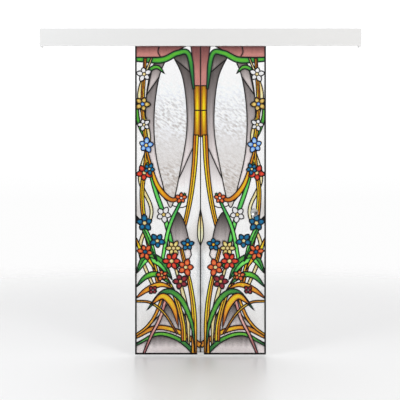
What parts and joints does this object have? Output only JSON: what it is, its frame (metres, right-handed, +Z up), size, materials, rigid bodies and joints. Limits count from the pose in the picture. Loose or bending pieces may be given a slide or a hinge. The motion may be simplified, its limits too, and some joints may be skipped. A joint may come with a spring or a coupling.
{
  "type": "sliding stained glass door",
  "caption": "Tall leaded stained glass door that slides on grooved wheels along a covered wall rail, with a round flush pull and a floor guide.",
  "frame": {"origin": "middle of the rail's back face, where it is screwed to the wall", "axes": "+X along the rail, to the right as seen from the front; the front faces -Y; +Z up; +Y into the wall"},
  "size_m": [2.15, 0.0605, 2.195],
  "materials": {
    "aluminium": "pale satin anodised",
    "steel": "zinc plated",
    "pull": "satin",
    "glass": "toughened sheet with coloured glass fields",
    "lead": "dark patinated lead",
    "nylon": "turned nylon",
    "rubber": "matt black",
    "plastic": "pale moulded"
  },
  "bodies": {
    "rail": {"rail": "aluminium", "rail_cover": "aluminium", "end_cap_left": "aluminium", "end_cap_right": "aluminium", "end_stop_left": "steel", "end_stop_right": "steel", "buffer_left": "rubber", "buffer_right": "rubber", "floor_guide": "plastic"},
    "door": {"glass_pane": "glass", "lead_front": "lead", "lead_back": "lead", "pull_front": "pull", "pull_back": "pull", "hanger_left": "steel", "hanger_right": "steel", "clamp_plate_left": "steel", "clamp_plate_right": "steel", "clamp_pad_left_front": "rubber", "clamp_pad_left_back": "rubber", "clamp_pad_right_front": "rubber", "clamp_pad_right_back": "rubber", "clamp_bolt_left_left": "steel", "clamp_bolt_left_right": "steel", "clamp_bolt_right_left": "steel", "clamp_bolt_right_right": "steel", "axle_left_left": "steel", "axle_left_right": "steel", "axle_right_left": "steel", "axle_right_right": "steel"},
    "wheel_1": {"wheel_left_left": "nylon"},
    "wheel_2": {"wheel_left_right": "nylon"},
    "wheel_3": {"wheel_right_left": "nylon"},
    "wheel_4": {"wheel_right_right": "nylon"}
  },
  "joints": [
    {"name": "door_slide", "type": "slide", "parent": "rail", "child": "door", "axis": [1, 0, 0], "range_m": [-0.4, 0.4]},
    {"name": "wheel_1_spin", "type": "hinge", "parent": "door", "child": "wheel_1", "pos_m": [-0.36, -0.016, -0.0098], "axis": [0, 1, 0], "range_deg": [-1950, 1950]},
    {"name": "wheel_2_spin", "type": "hinge", "parent": "door", "child": "wheel_2", "pos_m": [-0.3, -0.016, -0.0098], "axis": [0, 1, 0], "range_deg": [-1950, 1950]},
    {"name": "wheel_3_spin", "type": "hinge", "parent": "door", "child": "wheel_3", "pos_m": [0.3, -0.016, -0.0098], "axis": [0, 1, 0], "range_deg": [-1950, 1950]},
    {"name": "wheel_4_spin", "type": "hinge", "parent": "door", "child": "wheel_4", "pos_m": [0.36, -0.016, -0.0098], "axis": [0, 1, 0], "range_deg": [-1950, 1950]}
  ],
  "couplings": [
    {"joint": "wheel_1_spin", "follows": "door_slide", "rad_per_m": 83.333},
    {"joint": "wheel_2_spin", "follows": "door_slide", "rad_per_m": 83.333},
    {"joint": "wheel_3_spin", "follows": "door_slide", "rad_per_m": 83.333},
    {"joint": "wheel_4_spin", "follows": "door_slide", "rad_per_m": 83.333}
  ]
}
